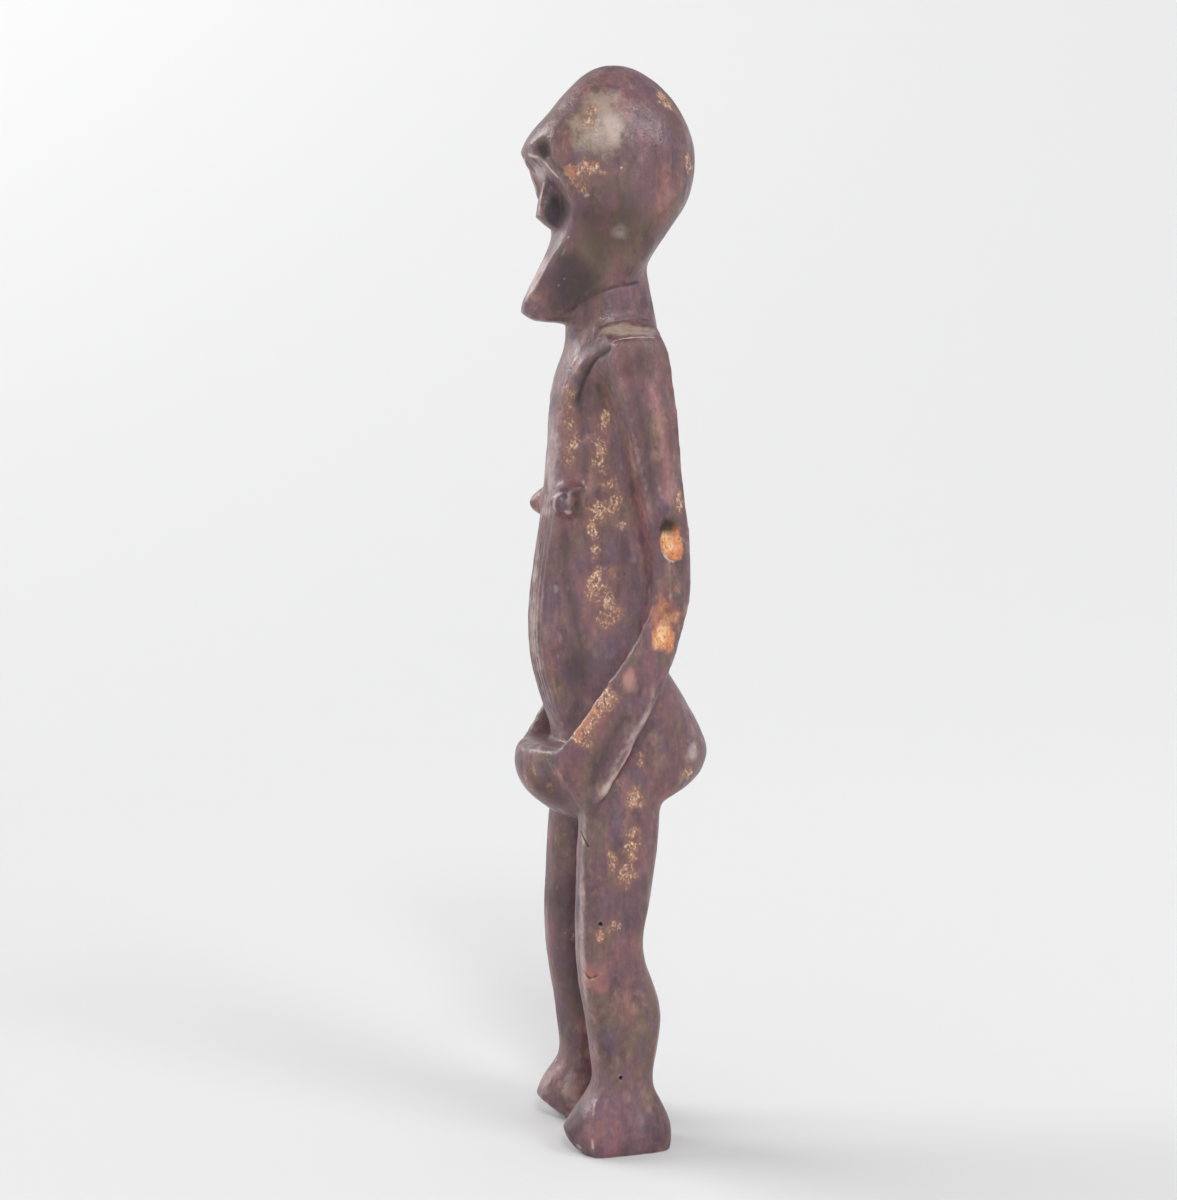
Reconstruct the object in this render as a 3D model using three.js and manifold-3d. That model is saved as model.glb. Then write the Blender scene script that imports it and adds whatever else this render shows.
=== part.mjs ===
// A standing figure carved from one block of wood, 450 mm tall.
// A helmet-like head with a dished, shield-shaped face stands on a stout neck. The arms run down the
// flanks and their hands meet in front of the hips. The belly and buttocks stand out, the legs are
// slightly bent, and the blocky feet carry the weight.
// Millimetres, +Z up. The figure faces -Y and its left hand is on +X.
// The origin is on the ground, under the middle of the bounding box.
import * as THREE from "three";
import { mergeVertices } from "three/addons/utils/BufferGeometryUtils.js";
import Module from "manifold-3d";

const wasm = await Module();
wasm.setup();

// Heights above the soles
const TOP = 450;
const BROW = 414;
const CHIN = 343.5;
const SHOULDER = 333;
const NIPPLE = 268;
const BELLY = 212;
const WAIST = 197;
const HANDS = 155;
const CROTCH = 135;
const KNEE = 88;
const ANKLE = 26;

// Half widths
const HEAD_HALF = 30;
const CHEST_HALF = 27;
const HIP_HALF = 31.5;
const SPINE_REACH = 8;
const LEG_GAP_HALF = 8.5;
const LEG_OUTER = 33;
const SHOULDER_HALF = 43;
const ELBOW_HALF = 45;

// The right leg bends a little further forward, and its sole lifts earlier towards the toe.
const RIGHT_LEG_FORWARD = 2;
const LEFT_SOLE_TOE = -15.4;
const RIGHT_SOLE_TOE = -11;

// Solids and geometry

function solidOf(geometry) {
  const bare = geometry.clone();
  bare.deleteAttribute("normal");
  bare.deleteAttribute("uv");
  const merged = mergeVertices(bare, 1e-3);
  return new wasm.Manifold(
    new wasm.Mesh({
      numProp: 3,
      vertProperties: new Float32Array(merged.attributes.position.array),
      triVerts: new Uint32Array(merged.index.array),
    }),
  );
}

function geometryOf(solid) {
  const mesh = solid.getMesh();
  const geometry = new THREE.BufferGeometry();
  geometry.setAttribute(
    "position",
    new THREE.BufferAttribute(new Float32Array(mesh.vertProperties), 3),
  );
  geometry.setIndex(new THREE.BufferAttribute(new Uint32Array(mesh.triVerts), 1));
  geometry.computeVertexNormals();
  return geometry;
}

// A closed skin over rings of equal length, each running anticlockwise seen from the last ring's side.
function loft(rings) {
  const count = rings[0].length;
  const points = rings.flat();
  const index = [];
  for (let r = 0; r + 1 < rings.length; r++) {
    for (let i = 0; i < count; i++) {
      const a = r * count + i;
      const b = r * count + ((i + 1) % count);
      index.push(a, b, b + count, a, b + count, a + count);
    }
  }
  const cap = (ring, first, flip) => {
    const centre = ring
      .reduce((sum, p) => sum.add(p), new THREE.Vector3())
      .divideScalar(count);
    const hub = points.push(centre) - 1;
    for (let i = 0; i < count; i++) {
      const a = first + i;
      const b = first + ((i + 1) % count);
      index.push(...(flip ? [hub, b, a] : [hub, a, b]));
    }
  };
  cap(rings[0], 0, true);
  cap(rings[rings.length - 1], (rings.length - 1) * count, false);
  const geometry = new THREE.BufferGeometry().setFromPoints(points);
  geometry.setIndex(index);
  return geometry;
}

// The same skin on the other side of the figure.
function mirrored(geometry) {
  const twin = geometry.clone().scale(-1, 1, 1);
  const index = Array.from(twin.index.array);
  for (let i = 0; i < index.length; i += 3) {
    [index[i + 1], index[i + 2]] = [index[i + 2], index[i + 1]];
  }
  twin.setIndex(index);
  return twin;
}

// Smooth values between stations: each key but z follows a cubic through its values over z.
function track(stations) {
  const rows = [...stations].sort((p, q) => p.z - q.z);
  const keys = Object.keys(rows[0]).filter((key) => key !== "z");
  const slope = (i, key) => {
    const low = rows[Math.max(i - 1, 0)];
    const high = rows[Math.min(i + 1, rows.length - 1)];
    return (high[key] - low[key]) / (high.z - low.z);
  };
  return (z) => {
    let i = 0;
    while (i < rows.length - 2 && z > rows[i + 1].z) i++;
    const step = rows[i + 1].z - rows[i].z;
    const t = THREE.MathUtils.clamp((z - rows[i].z) / step, 0, 1);
    const made = { z };
    for (const key of keys) {
      const from = rows[i][key];
      const to = rows[i + 1][key];
      const m0 = slope(i, key) * step;
      const m1 = slope(i + 1, key) * step;
      made[key] =
        from * (1 + 2 * t) * (1 - t) ** 2 +
        m0 * t * (1 - t) ** 2 +
        to * t * t * (3 - 2 * t) +
        m1 * t * t * (t - 1);
    }
    return made;
  };
}

// Heights from low to high, about step apart, that include every station's own height.
function heights(stations, step) {
  const own = stations.map((s) => s.z).sort((p, q) => p - q);
  const made = [own[0]];
  for (let i = 0; i + 1 < own.length; i++) {
    const parts = Math.max(1, Math.round((own[i + 1] - own[i]) / step));
    for (let k = 1; k <= parts; k++) {
      made.push(own[i] + ((own[i + 1] - own[i]) * k) / parts);
    }
  }
  return made;
}

// A level ring, symmetric about X = 0, of a form with a flat front.
// front: Y of the flat front at the middle. edge: its half width. rim: Y at its edges.
// half: the greatest half width, at Y = wide. back: Y at the back, before a groove of depth cleft that
// reaches lobe to each side. full: 0 for flat flanks, 1 for round ones.
function bodyRing({ z, front, edge, rim, half, wide, back, full, cleft = 0, lobe = 1 }, samples) {
  const side = [];
  for (let i = 0; i < samples.front; i++) {
    const t = i / samples.front;
    side.push([edge * t, THREE.MathUtils.lerp(front, rim, t * t)]);
  }
  const start = new THREE.Vector2(edge, rim);
  const end = new THREE.Vector2(half, wide);
  const middle = start.clone().lerp(end, 0.5);
  const control = middle.lerp(new THREE.Vector2(half, rim), full);
  const flank = new THREE.QuadraticBezierCurve(start, control, end);
  for (let i = 0; i < samples.flank; i++) {
    side.push(flank.getPoint(i / samples.flank).toArray());
  }
  for (let i = 0; i <= samples.back; i++) {
    const turn = (Math.PI / 2) * (i / samples.back);
    const x = i === samples.back ? 0 : half * Math.cos(turn) ** 0.85;
    const groove = cleft * Math.max(0, 1 - x / lobe) ** 2;
    side.push([x, wide + (back - wide) * Math.sin(turn) ** 0.85 - groove]);
  }
  const left = side.map(([x, y]) => new THREE.Vector3(x, y, z));
  const right = left
    .slice(1, -1)
    .reverse()
    .map((p) => new THREE.Vector3(-p.x, p.y, z));
  return [...left, ...right];
}

function body(stations, step, samples) {
  const at = track(stations);
  return loft(heights(stations, step).map((z) => bodyRing(at(z), samples)));
}

// A level ring between two X and two Y values, boxier as corner grows from 2, an ellipse, upwards.
function blockRing({ z, inner, outer, front, back, corner }, count) {
  const ring = [];
  for (let i = 0; i < count; i++) {
    const turn = (2 * Math.PI * (i + 0.5)) / count - Math.PI / 2;
    const c = Math.cos(turn);
    const s = Math.sin(turn);
    ring.push(
      new THREE.Vector3(
        (inner + outer) / 2 + ((outer - inner) / 2) * Math.sign(c) * Math.abs(c) ** (2 / corner),
        (front + back) / 2 + ((back - front) / 2) * Math.sign(s) * Math.abs(s) ** (2 / corner),
        z,
      ),
    );
  }
  return ring;
}

function block(stations, step, count) {
  const at = track(stations);
  return loft(heights(stations, step).map((z) => blockRing(at(z), count)));
}

// A skin over corner lines: each row holds the corners of one ring, joined by straight edges.
function faceted(rows, splits) {
  const corners = rows[0].length;
  const lines = [];
  for (let c = 0; c < corners; c++) {
    const points = rows.map((row) => new THREE.Vector3(...row[c]));
    lines.push(new THREE.CatmullRomCurve3(points, false, "centripetal"));
  }
  const steps = (rows.length - 1) * splits;
  const rings = [];
  for (let s = 0; s <= steps; s++) {
    const at = lines.map((line) => line.getPoint(s / steps));
    rings.push(
      at.flatMap((p, c) => [p, p.clone().lerp(at[(c + 1) % corners], 0.5)]),
    );
  }
  return loft(rings);
}

// A ball stretched to its three radii, with its third axis turned to point along a direction.
function ellipsoid([rx, ry, rz], centre, along = [0, 0, 1], sides = 12) {
  const turn = new THREE.Quaternion().setFromUnitVectors(
    new THREE.Vector3(0, 0, 1),
    new THREE.Vector3(...along).normalize(),
  );
  return new THREE.SphereGeometry(1, sides, sides / 2 + 1)
    .rotateX(Math.PI / 2)
    .scale(rx, ry, rz)
    .applyQuaternion(turn)
    .translate(...centre);
}

// Head: a round cranium over a face that is dished from the brow to the pointed jaw

function head() {
  return body(
    [
      { z: CHIN, front: -30, edge: 2, rim: -29, half: 4, wide: -22, back: -14, full: 0.4 },
      { z: 347, front: -36.8, edge: 1.6, rim: -36.2, half: 7, wide: -16, back: -6, full: 0.2 },
      { z: 352, front: -35, edge: 3.7, rim: -34.2, half: 12, wide: -8, back: 4, full: 0.15 },
      { z: 359, front: -31.2, edge: 5.6, rim: -30.5, half: 18, wide: 0, back: 11, full: 0.2 },
      { z: 366, front: -27.6, edge: 7.2, rim: -27, half: 22, wide: 4, back: 15.5, full: 0.28 },
      { z: 372, front: -24.3, edge: 9.2, rim: -23.9, half: 24.6, wide: 5.8, back: 19.2, full: 0.34 },
      { z: 378, front: -21.4, edge: 12, rim: -20.8, half: 26.6, wide: 7, back: 23.2, full: 0.42 },
      { z: 386, front: -19.4, edge: 18, rim: -19.4, half: 28.6, wide: 7, back: 29.2, full: 0.6 },
      { z: 394, front: -20.6, edge: 21.5, rim: -22.2, half: 29.8, wide: 7, back: 34.2, full: 0.8 },
      { z: 402, front: -24.8, edge: 19, rim: -25.8, half: HEAD_HALF, wide: 6, back: 36.8, full: 0.85 },
      { z: 409, front: -31.8, edge: 13, rim: -31.2, half: HEAD_HALF, wide: 5, back: 37.8, full: 0.85 },
      { z: BROW, front: -35.4, edge: 9, rim: -34.2, half: 29.6, wide: 4, back: 37.8, full: 0.8 },
      { z: 421, front: -31.4, edge: 9, rim: -30.2, half: 28.3, wide: 3, back: 36.2, full: 0.75 },
      { z: 428, front: -25.2, edge: 8, rim: -24.2, half: 25.6, wide: 2.5, back: 33.4, full: 0.7 },
      { z: 436, front: -18.8, edge: 7, rim: -18, half: 21, wide: 2.5, back: 28.6, full: 0.65 },
      { z: 443, front: -12.2, edge: 5, rim: -11.6, half: 15, wide: 2.5, back: 22.2, full: 0.6 },
      { z: 448, front: -5.6, edge: 3, rim: -5.2, half: 8.6, wide: 3, back: 14.5, full: 0.55 },
      { z: TOP, front: 0, edge: 1, rim: 0.3, half: 3, wide: 3.5, back: 7.5, full: 0.5 },
    ],
    5.2,
    { front: 3, flank: 7, back: 7 },
  );
}

// The nose is a block that widens downwards and ends in a flat base.
function nose() {
  const root = 404;
  const base = 383.5;
  const rows = [
    { z: base - 1.5, tip: -24, half: 4.6 },
    { z: base + 3, tip: -29.6, half: 4.8 },
    { z: (root + base) / 2 + 2, tip: -28, half: 3.6 },
    { z: root, tip: -26, half: 2 },
  ];
  const backOfNose = -16;
  return loft(
    rows.map(({ z, tip, half }) => [
      new THREE.Vector3(-half * 0.55, tip, z),
      new THREE.Vector3(half * 0.55, tip, z),
      new THREE.Vector3(half, tip + 2.4, z),
      new THREE.Vector3(half * 1.15, backOfNose, z),
      new THREE.Vector3(-half * 1.15, backOfNose, z),
      new THREE.Vector3(-half, tip + 2.4, z),
    ]),
  );
}

// A slanting hollow above the cheek on each side, under the edge of the brow.
function eyeHollow() {
  return ellipsoid([3.2, 2.6, 6.2], [15.6, -29.8, 410.8], [0.5, 0.45, -0.74]);
}

function neck() {
  return block(
    [
      { z: 330, inner: -20, outer: 20, front: -16, back: 24, corner: 2.2 },
      { z: 342, inner: -18, outer: 18, front: -15.8, back: 22.6, corner: 2.2 },
      { z: 358, inner: -16.5, outer: 16.5, front: -14, back: 19.4, corner: 2.2 },
      { z: 374, inner: -16, outer: 16, front: -12, back: 16, corner: 2.2 },
    ],
    8,
    20,
  );
}

// Trunk

// The trunk from the crotch to the neck. The buttocks are two lobes beside a deep cleft, which
// runs on upwards as a shallow groove along the spine.
function trunk() {
  const stations = [
    { z: CROTCH - 1, front: -10, edge: 10, half: 22, wide: 2, back: 12, full: 0.6, cleft: 3, lobe: 12 },
    { z: 144, front: -14, edge: 12, half: 29, wide: 7, back: 20.5, full: 0.6, cleft: 6, lobe: 15 },
    { z: 147, front: -15.5, edge: 12, half: 30.5, wide: 8, back: 29, full: 0.55, cleft: 11, lobe: 16 },
    { z: 150.5, front: -17, edge: 12, half: 31.2, wide: 9, back: 35.4, full: 0.5, cleft: 14, lobe: 16 },
    { z: 156, front: -19, edge: 11, half: HIP_HALF, wide: 10, back: 41.4, full: 0.5, cleft: 16, lobe: 16 },
    { z: 165, front: -21, edge: 11, half: HIP_HALF, wide: 10, back: 44.6, full: 0.45, cleft: 16, lobe: 16 },
    { z: 175, front: -22.6, edge: 10, half: 31, wide: 9, back: 40.4, full: 0.4, cleft: 13.5, lobe: 16 },
    { z: 186, front: -26.4, edge: 10, half: 29.8, wide: 7, back: 33.8, full: 0.35, cleft: 9, lobe: 16 },
    { z: WAIST + 2, front: -30.2, edge: 10, half: 28.6, wide: 5, back: 25, full: 0.32, cleft: 4, lobe: 15 },
    { z: BELLY + 2, front: -31.8, edge: 10, half: 28, wide: 4, back: 21.8, full: 0.3, cleft: 2, lobe: 12 },
    { z: 229, front: -31.4, edge: 10, half: 27.5, wide: 5, back: 21.8, full: 0.3, cleft: 2, lobe: 9 },
    { z: 247, front: -29, edge: 10, half: CHEST_HALF, wide: 6, back: 23.4, full: 0.28, cleft: 2 },
    { z: NIPPLE, front: -25.8, edge: 10, half: CHEST_HALF, wide: 7, back: 25, full: 0.25, cleft: 2 },
    { z: 290, front: -24, edge: 9, half: CHEST_HALF, wide: 7, back: 25.6, full: 0.2, cleft: 2 },
    { z: 312, front: -19.4, edge: 8, half: CHEST_HALF, wide: 5, back: 24.6, full: 0.12, cleft: 1.6 },
    { z: 326, front: -14.5, edge: 8, half: 25, wide: 3, back: 23.4, full: 0.1, cleft: 1 },
    { z: SHOULDER + 5, front: -10, edge: 7, half: 15, wide: 3, back: 22, full: 0.3, cleft: 0 },
  ].map((station) => ({ lobe: SPINE_REACH, ...station, rim: station.front + 1.1 }));
  return body(stations, 9, { front: 2, flank: 5, back: 8 });
}

// The breastbone plate stands proud of the hollows beside it and runs out above the breasts.
function chestPlate() {
  return body(
    [
      { z: 290, front: -23.6, edge: 9, rim: -22.6, half: 10, wide: -17, back: 0, full: 0.6 },
      { z: 303, front: -23.4, edge: 9.5, rim: -22.2, half: 14, wide: -14.5, back: 0, full: 0.5 },
      { z: 314, front: -22, edge: 9.5, rim: -20.8, half: 18, wide: -13, back: 0, full: 0.5 },
      { z: 322, front: -20.2, edge: 10, rim: -18.8, half: 21.5, wide: -11.4, back: 0, full: 0.5 },
      { z: 328, front: -18.2, edge: 10, rim: -16.6, half: 25, wide: -8, back: 0, full: 0.5 },
      { z: SHOULDER, front: -16.4, edge: 9, rim: -14.8, half: 23, wide: -4, back: 0, full: 0.5 },
      { z: 341, front: -13.4, edge: 8, rim: -12, half: 13, wide: -3, back: 0, full: 0.5 },
    ],
    7,
    { front: 3, flank: 4, back: 3 },
  );
}

function breast() {
  const base = new THREE.Vector3(13.8, -15.5, NIPPLE + 2);
  const tip = new THREE.Vector3(16.8, -28.4, NIPPLE);
  const radii = [
    [0, 8],
    [0.3, 7.6],
    [0.6, 6],
    [0.85, 4],
    [0.97, 2],
    [1, 0.4],
  ];
  const along = tip.clone().sub(base);
  const profile = radii.map(([t, r]) => new THREE.Vector2(r, t * along.length()));
  profile.unshift(new THREE.Vector2(0, 0));
  profile.push(new THREE.Vector2(0, along.length()));
  const cone = new THREE.LatheGeometry(profile, 12);
  const turn = new THREE.Quaternion().setFromUnitVectors(
    new THREE.Vector3(0, 1, 0),
    along.normalize(),
  );
  return cone.applyQuaternion(turn).translate(base.x, base.y, base.z);
}

// Arms: the corners run front, outer ridge, rear, then two that are buried in the trunk

function upperArm() {
  const rows = [
    { front: [26, 6, 196], ridge: [29, 11, 194], rear: [26, 15, 196] },
    { front: [36, 6, 207], ridge: [41, 12, 206], rear: [36.5, 19, 206] },
    { front: [37.5, 7.4, 217], ridge: [43, 13.5, 216], rear: [37.5, 22, 216] },
    { front: [39, 9.1, 231], ridge: [44.5, 14.5, 230], rear: [38.5, 25.2, 230] },
    { front: [40, 9.2, 245], ridge: [ELBOW_HALF, 13.5, 245], rear: [38.5, 25.6, 245] },
    { front: [40, 7.9, 257], ridge: [ELBOW_HALF, 11, 257], rear: [38.4, 24.8, 257] },
    { front: [39.5, 5.1, 269], ridge: [44.6, 10, 269], rear: [38.2, 23.2, 269] },
    { front: [39, 2.8, 284], ridge: [44.2, 8.6, 284], rear: [38, 21.6, 284] },
    { front: [38.2, -0.8, 300], ridge: [SHOULDER_HALF + 0.8, 5, 300], rear: [37.6, 20.4, 300] },
    { front: [37.6, -4.6, 316], ridge: [SHOULDER_HALF, 1, 315], rear: [37, 18.6, 316] },
    { front: [36.6, -7.4, 328], ridge: [41.5, -1.5, 329], rear: [36.8, 16.4, 329] },
  ];
  const buried = 20;
  const neckSide = [
    [11, 19, 346],
    [11, -8, 344],
  ];
  const rings = rows.map(({ front, ridge, rear }) => [
    front,
    ridge,
    rear,
    [buried, rear[1] - 4, rear[2]],
    [buried, front[1] - 4, front[2]],
  ]);
  const top = [[35.6, -7.6, 331.4], [39.6, -1, 333.6], [36.6, 12.6, 334.8], ...neckSide];
  return faceted([...rings, top], 2);
}

// A forearm slants forwards and down to the hands. Its outer face runs from the top edge to a dip
// along a raised rim, and the base edge lies behind the rim.
function forearm() {
  const rows = [
    { top: [39, 8, 227], dip: [44, 14, 220], rim: [44.4, 16, 216], base: [38, 20.5, 210] },
    { top: [38.6, 1.6, 216.5], dip: [43.2, 10, 208.5], rim: [44, 12.6, 205], base: [41, 16.8, 203] },
    { top: [37.2, -5.6, 204.5], dip: [41.6, 6.5, 197], rim: [43, 8.8, 194.5], base: [40.6, 12.6, 193] },
    { top: [35.6, -11.5, 196.4], dip: [40.4, 1, 184], rim: [41.8, 4, 182], base: [39.6, 8, 183] },
    { top: [33.4, -16.2, 188.6], dip: [38.4, -5.6, 174.6], rim: [40.2, -2.4, 173], base: [38, 1.9, 173] },
    { top: [31, -21, 180.6], dip: [36, -10.6, 167], rim: [37.8, -8.4, 163.4], base: [35.6, -3.6, 162] },
    { top: [29.2, -25.6, 174.6], dip: [32.8, -14.6, 157.4], rim: [35, -12.2, 156], base: [33, -8.4, 152] },
    { top: [28, -29, 169], dip: [29.4, -16.4, 148], rim: [31, -15, 147], base: [29.4, -12.6, 143.4] },
    { top: [26, -30.6, 164.6], dip: [24, -17.6, 142.4], rim: [26.4, -17, 142.6], base: [25, -15, 140] },
  ];
  const bulge = 1.8;
  const buried = 14;
  const rings = rows.map(({ top, dip, rim, base }) => {
    const face = top.map((value, axis) => (value + dip[axis]) / 2);
    const inside = top.map((value, axis) => (value + base[axis]) / 2);
    return [
      top,
      [face[0] + bulge, face[1] - bulge / 2, face[2]],
      dip,
      rim,
      base,
      [inside[0] - buried, inside[1] + buried / 3, inside[2]],
    ];
  });
  return faceted(rings.reverse(), 2);
}

// Both hands meet as one broad clump with a level top and a rounded underside.
function hands() {
  return body(
    [
      { z: 136, front: -17, edge: 3, rim: -16.6, half: 8, wide: -12, back: -5, full: 0.5 },
      { z: 139, front: -23, edge: 6, rim: -22, half: 15, wide: -12, back: 0, full: 0.4 },
      { z: 144.5, front: -30.4, edge: 8, rim: -29.2, half: 20, wide: -15, back: 0, full: 0.4 },
      { z: 152, front: -36.4, edge: 9, rim: -34.8, half: 23.5, wide: -19, back: 0, full: 0.35 },
      { z: HANDS + 6, front: -38.6, edge: 10, rim: -36.6, half: 26, wide: -26, back: 0, full: 0.25 },
      { z: 166.6, front: -38.4, edge: 10, rim: -36.4, half: 27, wide: -29, back: 0, full: 0.2 },
      { z: 168.6, front: -36.6, edge: 9, rim: -34.8, half: 26, wide: -28, back: 0, full: 0.2 },
    ],
    4,
    { front: 3, flank: 4, back: 3 },
  );
}

// Legs and feet

function leg() {
  const inner = LEG_GAP_HALF;
  const outer = LEG_OUTER;
  return block(
    [
      { z: 8, inner: inner + 3, outer: outer - 2, front: -10, back: 14, corner: 2.6 },
      { z: ANKLE, inner: inner + 2.6, outer: outer - 1.4, front: -10.6, back: 13.6, corner: 2.6 },
      { z: 34, inner: inner + 2, outer: outer - 1, front: -11.4, back: 14.3, corner: 2.6 },
      { z: 43, inner: inner + 1.2, outer: outer - 0.6, front: -12.4, back: 16.2, corner: 2.6 },
      { z: 54, inner: inner + 0.8, outer, front: -14, back: 17.6, corner: 2.6 },
      { z: 62, inner: inner + 0.6, outer, front: -15.6, back: 17, corner: 2.6 },
      { z: 70, inner: inner + 0.4, outer, front: -16.9, back: 14.2, corner: 2.6 },
      { z: 79, inner: inner + 0.4, outer, front: -17.9, back: 10.7, corner: 2.6 },
      { z: KNEE, inner: inner + 0.4, outer, front: -18.3, back: 9.8, corner: 2.6 },
      { z: 100, inner, outer, front: -18.2, back: 12, corner: 2.6 },
      { z: 116, inner: inner - 0.6, outer, front: -17.5, back: 14.8, corner: 2.6 },
      { z: 131, inner: inner - 1.6, outer, front: -16.8, back: 16.8, corner: 2.5 },
      { z: 146, inner: inner - 3, outer: outer - 1, front: -15, back: 18, corner: 2.3 },
      { z: 158, inner: inner - 3, outer: outer - 4, front: -12, back: 16, corner: 2.2 },
    ],
    8,
    18,
  );
}

// The foot's plan has a straight heel and sides, and bevels to a blunt toe. soleToe: Y where the sole
// leaves the ground. forward: how much further forward the instep meets the leg.
function foot(soleToe, forward) {
  const middle = (LEG_GAP_HALF + LEG_OUTER) / 2 + 0.6;
  const rows = [
    { z: 0, toe: soleToe, corner: soleToe + 2.8, heel: 20.2, half: 11.4, tipHalf: 6.4 },
    { z: 3, toe: soleToe - 5, corner: -13.4, heel: 20.8, half: 12.2, tipHalf: 5.4 },
    { z: 10, toe: -24.2, corner: -14, heel: 20.8, half: 12.4, tipHalf: 4.4 },
    { z: 17, toe: -18.6 - forward, corner: -12, heel: 18, half: 12, tipHalf: 5 },
    { z: ANKLE - 1, toe: -11.8 - forward, corner: -8, heel: 13.6, half: 10.8, tipHalf: 6 },
    { z: ANKLE + 6, toe: -9 - forward, corner: -6, heel: 11.6, half: 9.6, tipHalf: 6 },
  ];
  return loft(
    rows.map(({ z, toe, corner, heel, half, tipHalf }) =>
      [
        [tipHalf, toe],
        [half, corner],
        [half + 0.6, (corner + heel) / 2],
        [half, heel - 4],
        [half - 3, heel],
        [-half + 3, heel],
        [-half, heel - 4],
        [-half - 0.6, (corner + heel) / 2],
        [-half, corner],
        [-tipHalf, toe],
      ].map(([x, y]) => new THREE.Vector3(middle + x, y, z)),
    ),
  );
}

// Old losses on the left arm: a deep oval hole above the elbow and a broken patch below it

function armHole() {
  return ellipsoid([5.6, 5.6, 9.4], [43.4, 15.6, 254.6], [0, 0.1, -1]);
}

function elbowBreak() {
  return ellipsoid([4.4, 4.6, 12], [43.6, 12.6, 218], [-0.06, 0.42, -0.9]);
}

// Assembly

const middle = [head(), nose(), neck(), trunk(), chestPlate(), hands()];
const pairs = [breast(), upperArm(), forearm()];
const leftLeg = [leg(), foot(LEFT_SOLE_TOE, 0)];
const rightLeg = [
  leg().translate(0, -RIGHT_LEG_FORWARD, 0),
  foot(RIGHT_SOLE_TOE, RIGHT_LEG_FORWARD),
];
const hollows = [eyeHollow(), mirrored(eyeHollow()), armHole(), elbowBreak()];

const whole = [...middle, ...pairs, ...pairs.map(mirrored), ...leftLeg, ...rightLeg.map(mirrored)]
  .map(solidOf)
  .reduce((sum, solid) => sum.add(solid));
const carved = hollows.map(solidOf).reduce((sum, solid) => sum.subtract(solid), whole);

const geometry = geometryOf(carved);
geometry.computeBoundingBox();
const { min, max } = geometry.boundingBox;
geometry.translate(0, -(min.y + max.y) / 2, -min.z);

const wood = new THREE.MeshStandardMaterial({
  name: "dark patinated wood",
  color: new THREE.Color().setRGB(0.36, 0.28, 0.26, THREE.SRGBColorSpace),
  roughness: 0.5,
  metalness: 0,
});
const figure = new THREE.Mesh(geometry, wood);
figure.name = "carved_figure";

const group = new THREE.Group();
group.add(figure);

export default group;
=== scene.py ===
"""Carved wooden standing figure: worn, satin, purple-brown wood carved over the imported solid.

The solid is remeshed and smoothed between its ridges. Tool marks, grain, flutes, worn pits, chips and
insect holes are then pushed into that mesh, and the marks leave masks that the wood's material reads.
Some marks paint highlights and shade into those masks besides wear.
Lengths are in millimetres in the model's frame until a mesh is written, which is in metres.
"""

import itertools
import math

import bpy
import numpy as np
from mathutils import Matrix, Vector


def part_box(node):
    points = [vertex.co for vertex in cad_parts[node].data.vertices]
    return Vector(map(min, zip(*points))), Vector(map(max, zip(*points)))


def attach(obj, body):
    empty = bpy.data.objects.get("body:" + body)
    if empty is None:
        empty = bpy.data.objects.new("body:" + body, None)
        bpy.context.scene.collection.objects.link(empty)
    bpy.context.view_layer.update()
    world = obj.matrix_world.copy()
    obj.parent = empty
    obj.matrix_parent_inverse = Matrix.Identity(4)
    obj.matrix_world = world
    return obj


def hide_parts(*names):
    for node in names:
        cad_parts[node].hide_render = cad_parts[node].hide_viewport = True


MM = 0.001
TINY = 1e-12
NODE = "carved_figure"

# The sides of a mirrored mark, and directions.
BOTH = (1, -1)
FRONT = (0, -1, 0)
UP = (0, 0, 1)

# The photograph's camera: to the figure's left, turned a little to its front. The photograph's size, focal
# length and upright axis are in its pixels, turn and pitch in degrees and the rest in millimetres.
PHOTO_WIDTH = 1177
PHOTO_HEIGHT = 1200
FOCAL_PIXELS = 1700
AXIS_COLUMN = 604
CAMERA_TURN = 17.0
CAMERA_DISTANCE = 718.0
CAMERA_HEIGHT = 264.5
CAMERA_PITCH = 2.95
AXIS_OFFSET = -1.74
SENSOR = 36.0
CLIP_END = 20000

# The carved surface: its remesh in millimetres, its rounds of smoothing, how unlike the normals are of two
# faces with a ridge between them, and the share of triangles kept.
WELD_REACH = 0.001
COARSE_VOXEL = 1.2
RIDGE_ROUNDS = 30
RIDGE_SPREAD = 0.24
SETTLE_FIRST = 2
SETTLE_ROUNDS = 20
RELAX_ROUNDS = 2
TRIANGLE_SHARE = 0.24

# The soles' height and the way they face, how far up the marks fade above the floor, and how far the
# surface stays inside the solid's box.
SOLE_BAND = 0.8
SOLE_FACING = -0.8
FLOOR_FADE = 3.0
BOX_CLEARANCE = 0.02

# The share of its reach over which an edge of the solid is melted away in full. Then the places, reaches and
# rounds: the eye hollows' rims, the breasts' rear sides, the shoulder ledge's front, the forearms' upper
# ridges and the lip over the hands.
MELTED_CORE = 0.4
SOFTENED = (
    ((14, -30, 410), 9, 25), ((19, -28, 404.5), 6, 14), ((22, -17, 268), 8, 14), ((26, -10, 335), 9, 14),
    ((38, -2, 213), 9, 40), ((37, -8, 203), 9, 40), ((35, -15.5, 192.5), 9, 40), ((32, -20.5, 182), 9, 40),
    ((29, -27, 172), 9, 40), ((20, -34, 168), 9, 30), ((9, -38, 167), 9, 30), ((0, -38, 167), 9, 30),
)


def placed(name, data):
    """A new object with this mesh, lamp or camera, in the scene."""
    made = bpy.data.objects.new(name, data)
    bpy.context.scene.collection.objects.link(made)
    return made


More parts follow.
